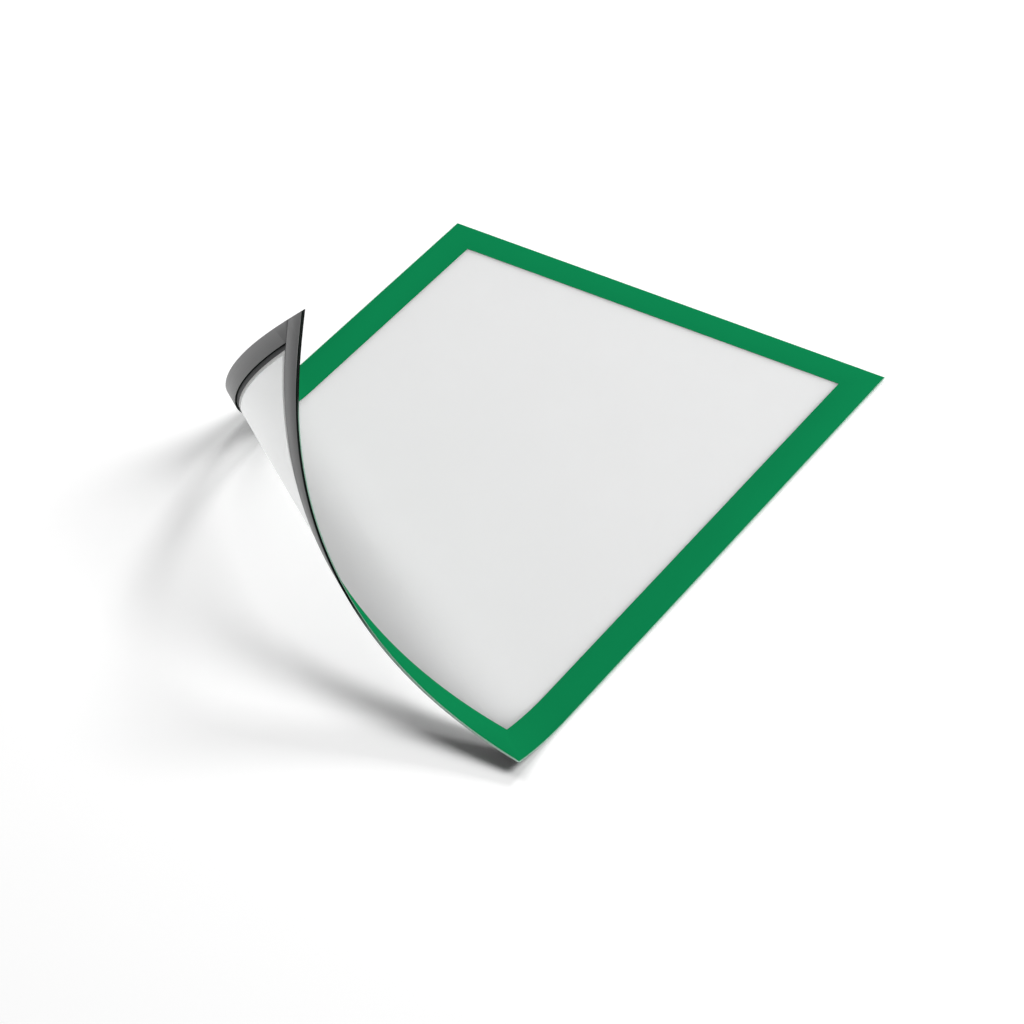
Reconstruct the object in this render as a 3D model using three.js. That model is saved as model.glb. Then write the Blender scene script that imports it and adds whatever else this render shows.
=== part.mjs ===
// Magnetic display frame for one A4 sheet: a flexible leaf that sticks to a steel surface
// and holds the sheet behind its clear window. The leaf is bonded up from films and magnet
// strips. It lies front up, with its lower left corner curled up and over.
//
// Millimetres. Origin in the middle of the top magnet strip's rear face, +X to the right,
// +Y towards the top edge and +Z out of the front.

import * as THREE from 'three';

// The sheet of paper that the frame is made for, and the play round it.
const sheetWidth = 210;
const sheetLength = 297;
const sheetClearance = 1;

// Widths across the edge of the leaf. The coloured film stops just short of the clear film's
// edge. The strips lie a little further in, and the dark backing behind them shows as a ledge
// on their inner side.
const colourInset = 0.4;
const stripInset = 1;
const stripWidth = 11;
const ledgeWidth = 2.4;
const borderWidth = 16;
const tapeInset = 0.75;
const seamGap = 0.3;

// Thicknesses, from the rear face to the front, with the glue line between two layers.
const stripThickness = 0.85;
const tapeThickness = 0.05;
const backingThickness = 0.1;
const filmThickness = 0.2;
const colourThickness = 0.15;
const glueLine = 0.02;

// The curl. The leaf is flat up to a start line, which slopes down to the right, and rolls
// up beyond it along lines that fan out from an apex off the left edge. The roll is tightest
// at one place on the way to the free corner, and runs out straight there.
const startLineSlope = 31.25;
const curlReach = 156;
const apexDistance = 490;
const tightestRadius = 52.5;
const tightestPlace = 56;
const turnPerFold = 2;

// A corner closer than this to a fold line counts as on it.
const onLine = 0.002;

// The outline of the leaf.
const stripInner = stripInset + stripWidth;
const leafWidth = sheetWidth + 2 * (sheetClearance + stripInner);
const leafLength = sheetLength + 2 * (sheetClearance + stripInner);
const left = -leafWidth / 2;
const right = leafWidth / 2;
const top = stripInset + stripWidth / 2;
const bottom = top - leafLength;

// The height of each layer's rear face.
const stripRear = 0;
const tapeRear = stripRear + stripThickness + glueLine;
const backingRear = tapeRear + tapeThickness + glueLine;
const filmRear = backingRear + backingThickness + glueLine;
const colourRear = filmRear + filmThickness + glueLine;

// The leaf keeps its length in the middle of the window film, its stiffest layer.
const neutralHeight = filmRear + filmThickness / 2;

// The fan of fold lines, in the plane of the flat leaf.
const slope = THREE.MathUtils.degToRad(startLineSlope);
const alongStart = new THREE.Vector3(Math.cos(slope), -Math.sin(slope), 0);
const towardsCorner = new THREE.Vector3(-Math.sin(slope), -Math.cos(slope), 0);
const freeCorner = new THREE.Vector3(left, bottom, neutralHeight);
const apex = freeCorner.clone()
  .addScaledVector(towardsCorner, -curlReach)
  .addScaledVector(alongStart, -apexDistance);

// Curvature over the reach is a cosine: greatest at tightestPlace, and none at the corner.
// placeOf follows from it: how far along the reach the leaf has turned by an angle.
const fadeLength = curlReach - tightestPlace;
const halfTurning = fadeLength / (tightestRadius * Math.PI / 2);
const startShare = Math.sin(Math.PI / 2 * Math.min(tightestPlace / fadeLength, 1));
const wholeTurning = halfTurning * (1 + startShare);

function placeOf(turning) {
  return tightestPlace + fadeLength * 2 / Math.PI * Math.asin(turning / halfTurning - startShare);
}

// The direction from the apex, in the flat leaf, that lies this far round from the start line.
function rayAt(angle) {
  return alongStart.clone().multiplyScalar(Math.cos(angle))
    .addScaledVector(towardsCorner, Math.sin(angle));
}

// A turn about a fold line that lifts the corner's side of it.
function turnAbout(ray, turning) {
  return new THREE.Matrix4().makeTranslation(apex)
    .multiply(new THREE.Matrix4().makeRotationAxis(ray, -turning))
    .multiply(new THREE.Matrix4().makeTranslation(apex.clone().negate()));
}

// The vector that leads from the neutral surface to a layer one millimetre in front of it,
// where two flats meet.
function mitre(before, after) {
  return before.clone().add(after).divideScalar(1 + before.dot(after));
}

// The stations round the fan: the start line, each fold line, and the end of the reach. Each
// has its angle, how the flat that follows it has moved, and its mitre.
function makeStations() {
  const foldCount = Math.round(wholeTurning / THREE.MathUtils.degToRad(turnPerFold));
  const turning = wholeTurning / foldCount;
  let moved = new THREE.Matrix4();
  let normal = new THREE.Vector3(0, 0, 1);
  const stations = [{ angle: 0, moved, mitre: normal }];
  for (let fold = 0; fold < foldCount; fold++) {
    const angle = placeOf((fold + 0.5) * turning) / apexDistance;
    const ray = rayAt(angle);
    moved = moved.clone().multiply(turnAbout(ray, turning));
    const nextNormal = new THREE.Vector3(0, 0, 1).transformDirection(moved);
    stations.push({ angle, ray, moved, mitre: mitre(normal, nextNormal) });
    normal = nextNormal;
  }
  stations.push({ angle: curlReach / apexDistance, moved, mitre: normal });
  return stations;
}

const stations = makeStations();
const foldLines = stations.filter((station) => station.ray);

// How far a point of the flat leaf lies beyond a fold line, towards the corner.
function beyond(foldLine, point) {
  const x = point.x - apex.x;
  const y = point.y - apex.y;
  const distance = foldLine.ray.y * x - foldLine.ray.x * y;
  return Math.abs(distance) < onLine ? 0 : distance;
}

// The part of a polygon on one side of a fold line.
function clip(corners, foldLine, side) {
  const kept = [];
  corners.forEach((corner, index) => {
    const next = corners[(index + 1) % corners.length];
    const here = side * beyond(foldLine, corner);
    const there = side * beyond(foldLine, next);
    if (here >= 0) kept.push(corner);
    if (here * there < 0) kept.push(corner.clone().lerp(next, here / (here - there)));
  });
  return kept;
}

// Polygons cut along a fold line, so that none of them crosses it.
function crease(polygons, foldLine) {
  const halves = polygons.flatMap((corners) => [-1, 1].map((side) => clip(corners, foldLine, side)));
  return halves.filter((corners) => corners.length > 2);
}

// The corners of the triangles that a convex polygon falls into.
function fan(corners) {
  return corners.slice(2).flatMap((corner, index) => [corners[0], corners[index + 1], corner]);
}

// A point of the flat leaf, moved to its place on the curled one.
function bend(point) {
  const flat = new THREE.Vector3(point.x, point.y, neutralHeight);
  const fromApex = flat.clone().sub(apex);
  const angle = Math.atan2(fromApex.dot(towardsCorner), fromApex.dot(alongStart));
  const later = stations.findIndex((station) => station.angle > angle);
  if (later === 0) return point.clone();
  const next = stations.at(later);
  const last = later < 0 ? next : stations[later - 1];
  const share = (angle - last.angle) / (next.angle - last.angle) || 0;
  const offset = last.mitre.clone().lerp(next.mitre, share).multiplyScalar(point.z - neutralHeight);
  return flat.applyMatrix4(last.moved).add(offset);
}

// The triangles of a geometry, each as its three corners.
function trianglesOf(geometry) {
  const position = geometry.attributes.position;
  const corners = [];
  for (let index = 0; index < position.count; index++) {
    corners.push(new THREE.Vector3().fromBufferAttribute(position, index));
  }
  const triangles = [];
  while (corners.length) triangles.push(corners.splice(0, 3));
  return triangles;
}

// An outline of the flat leaf.
function rectangle(fromX, fromY, toX, toY) {
  return new THREE.Shape([
    new THREE.Vector2(fromX, fromY),
    new THREE.Vector2(toX, fromY),
    new THREE.Vector2(toX, toY),
    new THREE.Vector2(fromX, toY),
  ]);
}

// An outline that lies this far inside the leaf's edge all round.
function inset(distance) {
  return rectangle(left + distance, bottom + distance, right - distance, top - distance);
}

// A frame between two distances from the leaf's edge.
function ring(outer, inner) {
  const outline = inset(outer);
  outline.holes.push(inset(inner));
  return outline;
}

const frame = new THREE.Group();

// One piece of the leaf: cut flat to its outline, then curled with the rest.
function addLayer(name, outline, rear, thickness, material) {
  const flat = new THREE.ExtrudeGeometry(outline, { depth: thickness, bevelEnabled: false });
  flat.translate(0, 0, rear);
  const corners = foldLines.reduce(crease, trianglesOf(flat)).flatMap(fan).map(bend);
  const curled = new THREE.BufferGeometry().setFromPoints(corners);
  curled.computeVertexNormals();
  const mesh = new THREE.Mesh(curled, material);
  mesh.name = name;
  frame.add(mesh);
}

// Window film: one clear matt film over the whole leaf, which carries everything else.
addLayer('window_film', inset(0), filmRear, filmThickness,
  new THREE.MeshStandardMaterial({
    color: 0xe9eaea, roughness: 0.55, metalness: 0, transparent: true, opacity: 0.55,
  }));

// Coloured border on the film's front.
addLayer('colour_border', ring(colourInset, borderWidth), colourRear, colourThickness,
  new THREE.MeshStandardMaterial({ color: 0x0e834f, roughness: 0.6, metalness: 0 }));

// Dark backing border on the film's rear, which hides the magnets from the front.
const backingInner = stripInner + ledgeWidth;
addLayer('backing_border', ring(stripInset, backingInner), backingRear, backingThickness,
  new THREE.MeshStandardMaterial({ color: 0x3c3e3f, roughness: 0.6, metalness: 0 }));

// The four strips: the top and bottom ones run through to the corners, and the side ones
// butt against them.
const fromLeft = left + stripInset;
const toRight = right - stripInset;
const sideFoot = bottom + stripInner + seamGap;
const sideHead = top - stripInner - seamGap;
const strips = {
  top: [fromLeft, top - stripInner, toRight, top - stripInset],
  bottom: [fromLeft, bottom + stripInset, toRight, bottom + stripInner],
  left: [fromLeft, sideFoot, left + stripInner, sideHead],
  right: [right - stripInner, sideFoot, toRight, sideHead],
};

for (const [place, [fromX, fromY, toX, toY]] of Object.entries(strips)) {
  // Strip of magnetic rubber, which also is the ledge that the sheet lies inside.
  addLayer(`${place}_magnet_strip`, rectangle(fromX, fromY, toX, toY), stripRear, stripThickness,
    new THREE.MeshStandardMaterial({ color: 0x4b4c4d, roughness: 0.5, metalness: 0 }));

  // Double-sided tape that holds the strip to the backing border.
  const tape = rectangle(fromX + tapeInset, fromY + tapeInset, toX - tapeInset, toY - tapeInset);
  addLayer(`${place}_bonding_tape`, tape, tapeRear, tapeThickness,
    new THREE.MeshStandardMaterial({ color: 0xd8d4c8, roughness: 0.7, metalness: 0 }));
}

export default frame;
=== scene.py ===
import bisect
import math

import bmesh
import bpy
from mathutils import Matrix, Vector


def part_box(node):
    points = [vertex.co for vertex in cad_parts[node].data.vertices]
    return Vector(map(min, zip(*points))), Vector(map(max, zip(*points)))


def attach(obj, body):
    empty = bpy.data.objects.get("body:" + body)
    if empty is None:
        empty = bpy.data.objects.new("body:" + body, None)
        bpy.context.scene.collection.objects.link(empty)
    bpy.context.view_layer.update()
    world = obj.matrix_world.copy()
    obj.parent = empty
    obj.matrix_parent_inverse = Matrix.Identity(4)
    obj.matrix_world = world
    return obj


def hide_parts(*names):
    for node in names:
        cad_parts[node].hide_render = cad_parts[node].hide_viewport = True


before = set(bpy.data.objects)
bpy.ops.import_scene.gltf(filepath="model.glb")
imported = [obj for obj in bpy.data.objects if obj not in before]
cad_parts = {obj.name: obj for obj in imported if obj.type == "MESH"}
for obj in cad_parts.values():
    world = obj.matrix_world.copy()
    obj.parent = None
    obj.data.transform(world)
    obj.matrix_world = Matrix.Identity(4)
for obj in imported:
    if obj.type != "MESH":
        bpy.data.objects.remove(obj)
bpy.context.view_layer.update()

# Window film
# One clear plastic film as large as the leaf, which carries the other layers. It is matted
# against glare, so that it looks milky, and casts a faint shadow. It is greyer where it is bent,
# which is painted shade. Its bare rim is mint, with painted shade dark at the tip, and from
# behind the border's glue is a pale line on it.
top_strip_low, top_strip_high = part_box("top_magnet_strip")
film_low, film_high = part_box("window_film")
top = film_high.y
strip_inset = top - top_strip_high.y
left = top_strip_low.x - strip_inset
right = top_strip_high.x + strip_inset
leaf_length = 0.323
bottom = top - leaf_length
film_rear = film_low.z
film_thickness = 0.0002
film_edge_break = 0.00003

# The leaf is flat up to a start line. Beyond it, it rolls up round lines that fan out from an
# apex off the left edge, so that the lower left corner stands over the front. It keeps its
# length in the middle of this film.
start_line_slope = math.radians(31.25)
curl_reach = 0.156
apex_distance = 0.49
tightest_radius = 0.0525
tightest_place = 0.056
turn_per_station = math.radians(0.5)
neutral_height = film_rear + film_thickness / 2
forward = Vector((0, 0, 1))
along_start = Vector((math.cos(start_line_slope), -math.sin(start_line_slope), 0))
towards_corner = Vector((-math.sin(start_line_slope), -math.cos(start_line_slope), 0))
free_corner = Vector((left, bottom, neutral_height))
apex = free_corner - curl_reach * towards_corner - apex_distance * along_start

# Curvature over the reach is a cosine: greatest at the tightest place, none at the corner.
fade_length = curl_reach - tightest_place
half_turning = fade_length * 2 / math.pi / tightest_radius
start_share = math.sin(math.pi / 2 * tightest_place / fade_length)
whole_turning = half_turning * (1 + start_share)


def place_of(turning):
    """How far along the reach the leaf has turned by this angle."""
    phase = math.asin(turning / half_turning - start_share)
    return tightest_place + fade_length * 2 / math.pi * phase


def ray_at(angle):
    """The direction from the apex, in the flat leaf, this far round from the start line."""
    return math.cos(angle) * along_start + math.sin(angle) * towards_corner


def roll_stations():
    """Angle in the flat leaf, direction from the apex and front normal, all along the roll."""
    count = round(whole_turning / turn_per_station)
    turning = whole_turning / count
    moved = Matrix.Identity(3)
    stations = [(0.0, along_start, forward)]
    for number in range(count):
        angle = place_of((number + 0.5) * turning) / apex_distance
        ray = ray_at(angle)
        turned = moved @ Matrix.Rotation(-turning, 3, ray)
        normal = (moved @ forward + turned @ forward).normalized()
        stations.append((angle, moved @ ray, normal))
        moved = turned
    end = curl_reach / apex_distance
    stations.append((end, moved @ ray_at(end), moved @ forward))
    return stations


stations = roll_stations()
station_angles = [angle for angle, away, normal in stations]


def angle_of(point):
    """How far round the apex a point of the flat leaf lies, from the start line."""
    from_apex = point - apex
    return math.atan2(from_apex.dot(towards_corner), from_apex.dot(along_start))


def curled(point):
    """Where a point of the flat leaf lies on the curled one."""
    angle = angle_of(point)
    if angle <= 0:
        return point.copy()
    later = min(bisect.bisect_right(station_angles, angle), len(stations) - 1)
    start_angle, start_away, start_normal = stations[later - 1]
    end_angle, end_away, end_normal = stations[later]
    share = min((angle - start_angle) / (end_angle - start_angle), 1.0)
    away = start_away.lerp(end_away, share).normalized()
    normal = start_normal.lerp(end_normal, share).normalized()
    distance = (Vector((point.x, point.y, neutral_height)) - apex).length
    return apex + distance * away + (point.z - neutral_height) * normal


# Each layer is cut flat, gets its thickness and slightly broken edges, is creased along fine
# roll lines and is then laid on the curl.
crease_turn = math.radians(1.0)
crease_tolerance = 1e-7
lead_in = 0.0015
sharp_from = math.radians(25)


def roll_lines():
    """Angles at which a plate is creased, with two at the start that keep the flat part flat."""
    count = round(whole_turning / crease_turn)
    places = [place_of(number * whole_turning / count) for number in range(count)]
    return [place / apex_distance for place in [-lead_in] + places]


def leaf_at(height, inset=0.0):
    """Two corners of the leaf's outline at this height, or of one that lies inside it."""
    low = Vector((left + inset, bottom + inset, height))
    high = Vector((right - inset, top - inset, height))
    return low, high


def flat_plate(low, high, ring_width=None):
    """A flat rectangle from one corner to the other, or a frame of this width round it."""
    mesh = bmesh.new()
    size = high - low
    place = Matrix.Translation((low + high) / 2) @ Matrix.Diagonal((size.x, size.y, 1, 1))
    bmesh.ops.create_grid(mesh, x_segments=1, y_segments=1, size=0.5, matrix=place)
    if ring_width:
        middle = mesh.faces[:]
        bmesh.ops.inset_region(
            mesh, faces=middle, thickness=ring_width, use_even_offset=True, use_boundary=True
        )
        bmesh.ops.delete(mesh, geom=middle, context="FACES_ONLY")
    return mesh


def thicken(mesh, thickness, edge_break):
    """Gives a flat plate its thickness towards the front, and breaks its edges."""
    grown = bmesh.ops.extrude_face_region(mesh, geom=mesh.faces[:])["geom"]
    raised = [part for part in grown if isinstance(part, bmesh.types.BMVert)]
    bmesh.ops.translate(mesh, verts=raised, vec=(0, 0, thickness))
    bmesh.ops.recalc_face_normals(mesh, faces=mesh.faces[:])
    rims = [edge for edge in mesh.edges if edge.calc_face_angle(0) > sharp_from]
    bmesh.ops.bevel(
        mesh, geom=rims, offset=edge_break, segments=2, profile=0.5, affect="EDGES", material=-1
    )


def crease(mesh):
    """Cuts a plate along the roll lines."""
    for angle in roll_lines():
        across = ray_at(angle + math.pi / 2)
        geometry = mesh.verts[:] + mesh.edges[:] + mesh.faces[:]
        bmesh.ops.bisect_plane(
            mesh, geom=geometry, dist=crease_tolerance, plane_co=apex, plane_no=across
        )


def lay_and_curl(mesh, length_along_y):
    """Curls a plate, and keeps three attributes that its patterns follow.

    "lay" is a point's place in the flat leaf, with x along the piece, "rim" how far it lies
    inside the leaf's outline, and "reach" how far up the curl.
    """
    lay = mesh.verts.layers.float_vector.new("lay")
    rim = mesh.verts.layers.float.new("rim")
    reach = mesh.verts.layers.float.new("reach")
    for vert in mesh.verts:
        flat = vert.co
        vert[reach] = angle_of(flat) * apex_distance
        vert[lay] = Vector((flat.y, flat.x, flat.z)) if length_along_y else flat
        vert[rim] = min(flat.x - left, right - flat.x, flat.y - bottom, top - flat.y)
        vert.co = curled(flat)


def finish_piece(name, mesh, material, length_along_y=False):
    """Creases and curls a thick plate, and makes it the piece that stands for its CAD node."""
    crease(mesh)
    lay_and_curl(mesh, length_along_y)
    mesh.normal_update()
    for edge in mesh.edges:
        edge.smooth = edge.calc_face_angle(0) < sharp_from
    for face in mesh.faces:
        face.smooth = True
    data = bpy.data.meshes.new(name)
    mesh.to_mesh(data)
    mesh.free()
    piece = bpy.data.objects.new(name, data)
    bpy.context.collection.objects.link(piece)
    data.materials.append(material)
    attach(piece, "root")
    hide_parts(name)


# The film's own look, with where on the leaf its bend, rim, tip and glue line begin and end.
# The grey of the bend and the dark of the rim's tip are painted shade.
film_colour = (0.682, 0.684, 0.684)
film_painted_bend_shade = (0.582, 0.584, 0.584)
film_shades = 0.985, 1.015
film_glow = 0.88
film_passes = 0.85
film_roughness = 0.4
film_grain_size = 0.0006
film_grain_depth = 0.00003
film_haze_size = 0.05
bend_start, bend_end = 0.005, 0.12
rim_mint = (0.48, 0.72, 0.6)
# Painted shade: the rim turns near black at the tip, where its edge lies in shade.
rim_painted_shade = (0.012, 0.018, 0.015)
rim_width = 0.001
tip_start, tip_end = 0.115, 0.124
glue_white = (0.95, 0.95, 0.94)
glue_start, glue_end = 0.0142, 0.016
soft_edge = 0.0001


class Value:
    """A socket of a tree of nodes. Arithmetic on it adds Math nodes."""

    def __init__(self, nodes, socket):
        self.nodes = nodes
        self.socket = socket

    def maths(self, operation, first, second):
        """The result of a Math node that works on two values."""
        return self.nodes.node("ShaderNodeMath", {"operation": operation}, {0: first, 1: second})

    def __add__(self, other):
        return self.maths("ADD", self, other)

    def __sub__(self, other):
        return self.maths("SUBTRACT", self, other)

    def __rsub__(self, other):
        return self.maths("SUBTRACT", other, self)

    def __mul__(self, other):
        return self.maths("MULTIPLY", self, other)

    def __abs__(self):
        return self.maths("ABSOLUTE", self, 0)

    __radd__ = __add__
    __rmul__ = __mul__


class Nodes:
    """A tree of nodes being made."""

    def __init__(self, tree):
        self.tree = tree

    def set(self, node, inputs):
        """Gives sockets of a node their values or links."""
        for name, value in inputs.items():
            if isinstance(value, Value):
                self.tree.links.new(value.socket, node.inputs[name])
            else:
                node.inputs[name].default_value = value

    def node(self, kind, settings, inputs, output=0):
        """Adds a node with its settings and inputs, and gives one of its outputs."""
        node = self.tree.nodes.new(kind)
        for name, value in settings.items():
            setattr(node, name, value)
        self.set(node, inputs)
        return Value(self, node.outputs[output])

    def between(self, low, high, value):
        """How far a value has come from low to high, smoothly, from 0 to 1."""
        settings = {"interpolation_type": "SMOOTHSTEP"}
        inputs = {"Value": value, "From Min": low, "From Max": high}
        return self.node("ShaderNodeMapRange", settings, inputs)

    def ray_is(self, kind):
        """1 to rays of this kind, such as Camera or Shadow, and 0 to others."""
        return self.node("ShaderNodeLightPath", {}, {}, f"Is {kind} Ray")

    def in_view(self):
        """1 to rays from the camera, off a gloss or through a clear piece, and 0 to others."""
        rays = self.ray_is("Camera") + self.ray_is("Glossy") + self.ray_is("Transmission")
        return rays.maths("MINIMUM", rays, 1)


class Finish(Nodes):
    """A material being made, with its Principled shader."""

    def __init__(self, name):
        self.material = bpy.data.materials.new(name)
        self.material.use_nodes = True
        super().__init__(self.material.node_tree)
        self.shader = self.tree.nodes["Principled BSDF"]

    def lay(self, scale=(1, 1, 1)):
        """Each point's place in the flat leaf, in metres, stretched by a scale."""
        place = self.node("ShaderNodeAttribute", {"attribute_name": "lay"}, {}, "Vector")
        return self.node("ShaderNodeMapping", {}, {"Vector": place, "Scale": scale})

    def noise(self, size, scale=(1, 1, 1), detail=2.0):
        """Noise from 0 to 1 whose spots are about this size."""
        inputs = {"Vector": self.lay(scale), "Scale": 1 / size, "Detail": detail}
        return self.node("ShaderNodeTexNoise", {}, inputs, "Fac")

    def from_edge(self):
        """How far each point of the flat leaf lies inside its outline."""
        place = self.lay()
        x, y = (self.node("ShaderNodeSeparateXYZ", {}, {0: place}, axis) for axis in "XY")
        across = (right - left) / 2 - abs(x)
        along = (top - bottom) / 2 - abs(y - (top + bottom) / 2)
        return across.maths("MINIMUM", across, along)

    def kept(self, name):
        """A number that the mesh keeps for each of its points."""
        return self.node("ShaderNodeAttribute", {"attribute_name": name}, {}, "Fac")

    def blend(self, share, first, second):
        """One colour turning into another as the share goes from 0 to 1."""
        first, second = (
            colour if isinstance(colour, Value) else (*colour, 1) for colour in (first, second)
        )
        # A Mix node takes its two colours at inputs 6 and 7, and gives the blend at output 2.
        inputs = {"Factor": share, 6: first, 7: second}
        return self.node("ShaderNodeMix", {"data_type": "RGBA"}, inputs, 2)

    def plain(self, kind, colour):
        """A plain shader, such as Diffuse, with one colour all over."""
        return self.node(f"ShaderNodeBsdf{kind}", {}, {"Color": (*colour, 1)}, "BSDF")

    def mix(self, share, first, second):
        """One shader turning into another as the share goes from 0 to 1."""
        return self.node("ShaderNodeMixShader", {}, {0: share, 1: first, 2: second})

    def own(self):
        """The material's Principled shader, for mixing with others."""
        return Value(self, self.shader.outputs["BSDF"])

    def show(self, shader):
        """Makes this shader the material's surface."""
        self.set(self.tree.nodes["Material Output"], {"Surface": shader})

    def relief(self, height, depth):
        """Turns a height from 0 to 1 into bumps of this depth in metres."""
        bump = self.node("ShaderNodeBump", {}, {"Height": height, "Distance": depth})
        self.set(self.shader, {"Normal": bump})


def shades(colour, levels):
    """The same colour at several levels of brightness."""
    return [tuple(level * part for part in colour) for level in levels]


def matt_window():
    finish = Finish("matt_window_film")
    grain = finish.noise(film_grain_size)
    haze = finish.noise(film_haze_size)
    deep, bright = shades(film_colour, film_shades)
    reach = finish.kept("reach")
    # Painted shade: the film is greyed where it bends up the curl.
    rising = finish.between(bend_start, tightest_place, reach)
    painted_bend_shade = rising * (1 - finish.between(tightest_place, bend_end, reach))
    edge = finish.from_edge()
    rim = 1 - finish.between(rim_width - soft_edge, rim_width + soft_edge, edge)
    # Where painted shade darkens the rim at the tip.
    painted_shade_at_tip = finish.between(tip_start, tip_end, reach)
    glued = finish.between(glue_start, glue_start + soft_edge, edge)
    glued = glued * (1 - finish.between(glue_end - soft_edge, glue_end, edge))
    cloud = 0.5 * grain + 0.5 * haze
    colour = finish.blend(cloud, deep, bright)
    glow = finish.mix(cloud, finish.plain("Translucent", deep), finish.plain("Translucent", bright))
    # Painted shade greys the bend and darkens the rim's tip; the rim's mint and the glue's white
    # are their own colours.
    tones = [
        (painted_bend_shade, film_painted_bend_shade), (rim, rim_mint), (rim * painted_shade_at_tip, rim_painted_shade), (glued, glue_white),
    ]
    for share, tone in tones:
        colour = finish.blend(share, colour, tone)
        glow = finish.mix(share, glow, finish.plain("Translucent", tone))
    finish.set(finish.shader, {
        "Base Color": colour,
        "Roughness": film_roughness + 0.08 * grain + 0.06 * haze,
    })
    finish.relief(grain, film_grain_depth)
    milky = finish.mix(film_glow * (1 - glued), finish.own(), glow)
    slant = finish.node("ShaderNodeLayerWeight", {}, {"Blend": 0.5}, "Facing")
    grazing = slant.maths("POWER", slant, 4)
    lit = finish.ray_is("Shadow") + finish.ray_is("Diffuse")
    passed = film_passes * lit * (1 - grazing)
    finish.show(finish.mix(passed, milky, finish.plain("Transparent", (1, 1, 1))))
    return finish.material


window_film = flat_plate(*leaf_at(film_rear))
thicken(window_film, film_thickness, film_edge_break)
finish_piece("window_film", window_film, matt_window())

# Coloured border
# A frame of matt green film, cut square at its corners and glued to the front of the window
# film. Its surface has the same fine sandy grain, and no print.
border_width = 0.016
border_thickness = 0.00015
border_edge_break = 0.00003
border_low, border_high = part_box("colour_border")
border_rear = border_low.z
border_inset = top - border_high.y
border_green = (0.0043, 0.218, 0.0745)
border_shades = 0.94, 1.06
border_roughness = 0.5
border_grain_size = 0.0005
border_grain_depth = 0.00003
border_cloud_size = 0.03


def matt_green():
    finish = Finish("matt_green_film")
    grain = finish.noise(border_grain_size)
    cloud = finish.noise(border_cloud_size)
    finish.set(finish.shader, {
        "Base Color": finish.blend(0.5 * grain + 0.5 * cloud, *shades(border_green, border_shades)),
        "Roughness": border_roughness + 0.12 * grain,
        "Specular IOR Level": 0.0,
    })
    finish.relief(grain, border_grain_depth)
    return finish.material


border_ring = border_width - border_inset
colour_border = flat_plate(*leaf_at(border_rear, border_inset), ring_width=border_ring)
thicken(colour_border, border_thickness, border_edge_break)
finish_piece("colour_border", colour_border, matt_green())

# Backing border
# A frame of matt dark film, glued to the window film's rear so that the magnets don't show
# through. From behind it is the narrow ledge between the strips and the window.
strip_width = top_strip_high.y - top_strip_low.y
strip_inner = strip_inset + strip_width
ledge_width = 0.0024
backing_thickness = 0.0001
backing_edge_break = 0.00002
backing_low, backing_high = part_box("backing_border")
backing_rear = backing_low.z
backing_inset = top - backing_high.y
backing_grey = (0.045, 0.047, 0.048)
backing_shades = 0.85, 1.2
backing_roughness = 0.5
backing_grain_size = 0.0007
backing_grain_depth = 0.00002


def matt_backing():
    finish = Finish("matt_dark_backing")
    grain = finish.noise(backing_grain_size)
    finish.set(finish.shader, {
        "Base Color": finish.blend(grain, *shades(backing_grey, backing_shades)),
        "Roughness": backing_roughness + 0.15 * grain,
        "Specular IOR Level": 0.3,
    })
    finish.relief(grain, backing_grain_depth)
    return finish.material


backing_ring = strip_inner + ledge_width - backing_inset
backing_border = flat_plate(*leaf_at(backing_rear, backing_inset), ring_width=backing_ring)
thicken(backing_border, backing_thickness, backing_edge_break)
finish_piece("backing_border", backing_border, matt_backing())

# Magnet strips
# Four strips of magnetic rubber on the rear, rolled with fine streaks along them. The side ones
# butt against the top and bottom ones. Slit to width, they have nearly black cut edges, made
# darker with painted shade. On the outer cut edges pale mint is painted light where the leaf is
# flat or rising, and black is painted shade where the corner turns over.
strip_thickness = top_strip_high.z - top_strip_low.z
strip_rear = top_strip_low.z
seam_gap = 0.0003
strip_edge_break = 0.00008
rubber_grey = (0.055, 0.056, 0.057)
rubber_shades = 0.78, 1.22
rubber_roughness = 0.3
streak_size = 0.0006
streak_scale = (0.03, 1, 1)
speck_size = 0.0009
rubber_cloud_size = 0.02
rubber_relief_depth = 0.00004
# The cut edges are near black, partly the rubber's own dark edge and partly painted shade, and pale
# mint painted light on the outer edges where the leaf is flat or rising.
dark_rubber_and_painted_shade = (0.008, 0.013, 0.011)
cut_blur = 0.00006
painted_light_edge_mint = (0.84, 0.97, 0.9)
painted_light_end, painted_shade_start = 0.052, 0.07


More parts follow.
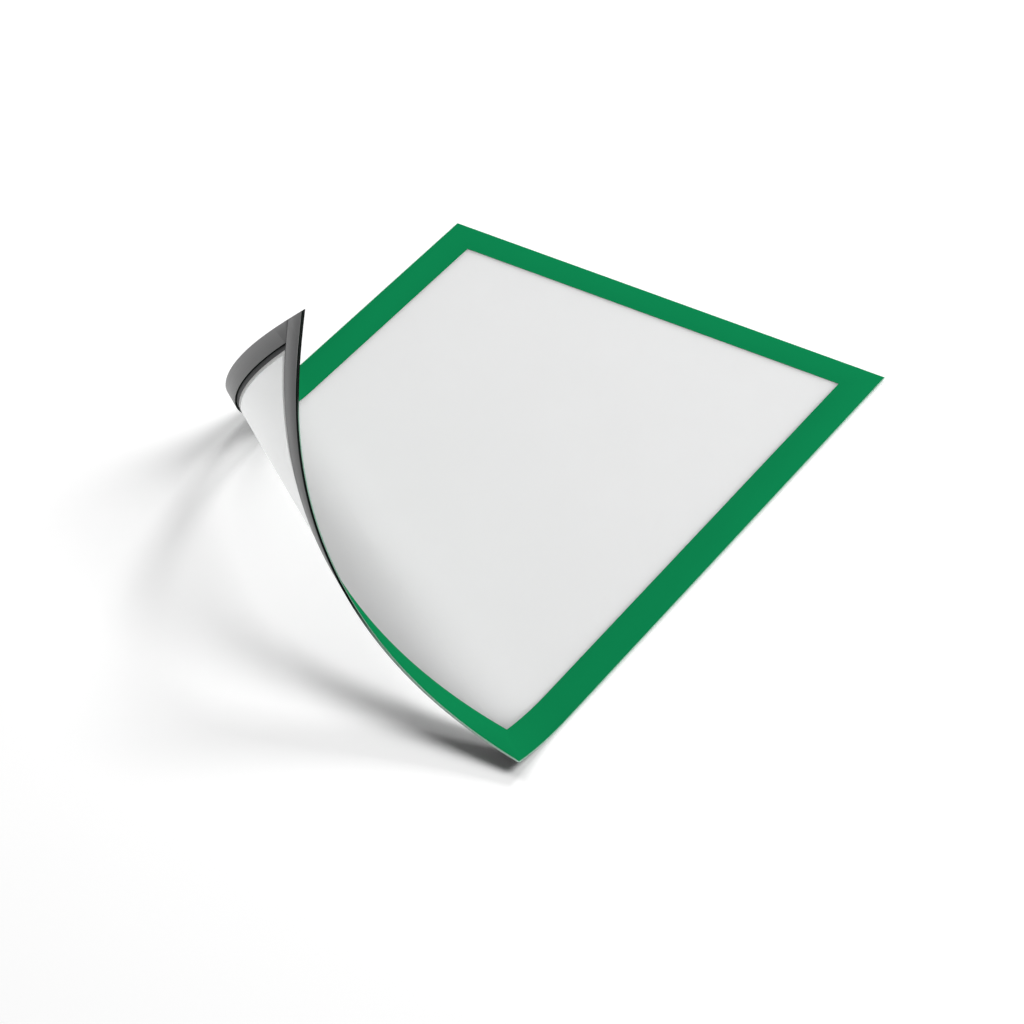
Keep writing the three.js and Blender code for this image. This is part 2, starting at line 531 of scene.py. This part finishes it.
def rolled_rubber():
    finish = Finish("rolled_magnetic_rubber")
    streaks = finish.noise(streak_size, streak_scale, detail=3.0)
    specks = finish.noise(speck_size, detail=3.0)
    cloud = finish.noise(rubber_cloud_size)
    mottle = 0.45 * streaks + 0.3 * specks + 0.25 * cloud
    finish.set(finish.shader, {
        "Base Color": finish.blend(mottle, *shades(rubber_grey, rubber_shades)),
        "Roughness": rubber_roughness + 0.1 * streaks + 0.05 * specks,
        "Specular IOR Level": 0.85,
    })
    finish.relief(0.7 * streaks + 0.3 * specks, rubber_relief_depth)
    height = finish.node("ShaderNodeSeparateXYZ", {}, {0: finish.lay()}, "Z")
    cut_from = strip_rear + strip_edge_break
    cut = finish.between(cut_from, cut_from + cut_blur, height)
    outer = 1 - finish.between(1.5 * strip_inset, 2 * strip_inset, finish.kept("rim"))
    # Painted light in mint on the outer cut edges along the flat and rising leaf, and painted shade
    # in black where the corner turns over.
    painted_light_share = 1 - finish.between(painted_light_end, painted_shade_start, finish.kept("reach"))
    shaded_black_edge, painted_light_edge = (finish.plain("Diffuse", colour) for colour in (dark_rubber_and_painted_shade, painted_light_edge_mint))
    edge = finish.mix(outer * painted_light_share, shaded_black_edge, painted_light_edge)
    finish.show(finish.mix(cut, finish.own(), edge))
    return finish.material


from_left, to_right = left + strip_inset, right - strip_inset
side_foot, side_head = bottom + strip_inner + seam_gap, top - strip_inner - seam_gap
strips = {
    "top": (from_left, top - strip_inner, to_right, top - strip_inset),
    "bottom": (from_left, bottom + strip_inset, to_right, bottom + strip_inner),
    "left": (from_left, side_foot, left + strip_inner, side_head),
    "right": (right - strip_inner, side_foot, to_right, side_head),
}
rubber = rolled_rubber()
for place, (low_x, low_y, high_x, high_y) in strips.items():
    low, high = Vector((low_x, low_y, strip_rear)), Vector((high_x, high_y, strip_rear))
    magnet_strip = flat_plate(low, high)
    thicken(magnet_strip, strip_thickness, strip_edge_break)
    upright = place in ("left", "right")
    finish_piece(f"{place}_magnet_strip", magnet_strip, rubber, upright)

# Bonding tapes
# Thin double-sided tape between each strip and the backing, a little narrower than the strip.
# Only its edge can be seen, as a pale line deep in the joint.
tape_inset = 0.00075
tape_rear, tape_front = (corner.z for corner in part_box("top_bonding_tape"))
tape_edge_break = 0.00001
tape_cream = (0.68, 0.64, 0.55)
tape_shades = 0.85, 1.0
tape_roughness = 0.62
fibre_size = 0.0012
fibre_scale = (0.15, 1, 1)
fibre_depth = 0.00001


def paper_tape():
    finish = Finish("double_sided_tape")
    fibres = finish.noise(fibre_size, fibre_scale, detail=3.0)
    finish.set(finish.shader, {
        "Base Color": finish.blend(fibres, *shades(tape_cream, tape_shades)),
        "Roughness": tape_roughness + 0.2 * fibres,
    })
    finish.relief(fibres, fibre_depth)
    return finish.material


tape_finish = paper_tape()
for place, (low_x, low_y, high_x, high_y) in strips.items():
    low = Vector((low_x + tape_inset, low_y + tape_inset, tape_rear))
    high = Vector((high_x - tape_inset, high_y - tape_inset, tape_rear))
    tape = flat_plate(low, high)
    thicken(tape, tape_front - tape_rear, tape_edge_break)
    upright = place in ("left", "right")
    finish_piece(f"{place}_bonding_tape", tape, tape_finish, upright)

# Floor
# A white studio floor that the camera sees as pure white where no shadow falls. For the light
# that it throws back on the frame it is a plain pale surface.
floor_size = 12.0
floor_gap = 0.0001
floor_white = (0.82, 0.82, 0.82)
floor_seen = (1.1, 1.1, 1.1)
floor_roughness = 0.9


def studio_white():
    finish = Finish("studio_floor")
    finish.set(finish.shader, {
        "Base Color": finish.blend(finish.in_view(), floor_white, floor_seen),
        "Roughness": floor_roughness,
        "Specular IOR Level": 0.0,
    })
    return finish.material


floor_mesh = bmesh.new()
bmesh.ops.create_grid(floor_mesh, x_segments=1, y_segments=1, size=floor_size / 2)
floor_data = bpy.data.meshes.new("floor")
floor_mesh.to_mesh(floor_data)
floor_mesh.free()
floor = bpy.data.objects.new("floor", floor_data)
bpy.context.collection.objects.link(floor)
floor.location.z = top_strip_low.z - floor_gap
floor_data.materials.append(studio_white())

# Light
# Three lamps stand behind the frame, with a faint light all round. A large softbox on the
# right throws the curl's soft shadow to the left, a small lamp lower down behind it draws the
# edge of a wider, fainter shadow, and a second softbox on the left lights the curl's rear.
surround_level = 0.05
lamp_distance = 3.5
lamps = {
    "right_softbox": {"azimuth": 27, "elevation": 55, "size": 1.75, "power": 76.8},
    "back_lamp": {"azimuth": 95, "elevation": 39, "size": 0.7, "power": 40.0},
    "left_softbox": {"azimuth": 150, "elevation": 55, "size": 1.75, "power": 39.9},
}

world = bpy.data.worlds.new("studio")
world.use_nodes = True
bpy.context.scene.world = world
surroundings = Nodes(world.node_tree)
surroundings.set(world.node_tree.nodes["Background"], {
    "Color": (1, 1, 1, 1),
    "Strength": surround_level + (1 - surround_level) * surroundings.in_view(),
})

leaf_middle = Vector((0, (top + bottom) / 2, 0))
for name, lamp_place in lamps.items():
    azimuth = math.radians(lamp_place["azimuth"])
    elevation = math.radians(lamp_place["elevation"])
    away = Vector((
        math.cos(elevation) * math.cos(azimuth),
        math.cos(elevation) * math.sin(azimuth),
        math.sin(elevation),
    ))
    lamp_data = bpy.data.lights.new(name, "AREA")
    lamp_data.energy = lamp_place["power"]
    lamp_data.size = lamp_place["size"]
    lamp = bpy.data.objects.new(name, lamp_data)
    bpy.context.collection.objects.link(lamp)
    lamp.location = leaf_middle + lamp_distance * away
    lamp.rotation_euler = away.to_track_quat("Z", "Y").to_euler()

# Camera
# It looks down on the leaf from in front and to the right with a long lens.
camera_aim = Vector((0.02325, -0.16952, 0.0001))
camera_azimuth = math.radians(31.91)
camera_elevation = math.radians(38.64)
camera_distance = 1.9506
camera_roll = math.radians(0.12)
camera_lens = 153.29
camera_sensor = 36
nearest_seen, farthest_seen = 0.05, 50

camera_data = bpy.data.cameras.new("camera")
camera_data.lens = camera_lens
camera_data.sensor_width = camera_sensor
camera_data.clip_start, camera_data.clip_end = nearest_seen, farthest_seen
camera = bpy.data.objects.new("camera", camera_data)
bpy.context.collection.objects.link(camera)
bpy.context.scene.camera = camera
camera_back = Vector((
    math.sin(camera_azimuth) * math.cos(camera_elevation),
    -math.cos(camera_azimuth) * math.cos(camera_elevation),
    math.sin(camera_elevation),
))
camera.location = camera_aim + camera_distance * camera_back
upright_view = camera_back.to_track_quat("Z", "Y").to_matrix()
camera.rotation_euler = (upright_view @ Matrix.Rotation(camera_roll, 3, "Z")).to_euler()

bpy.context.scene.view_settings.view_transform = "Standard"
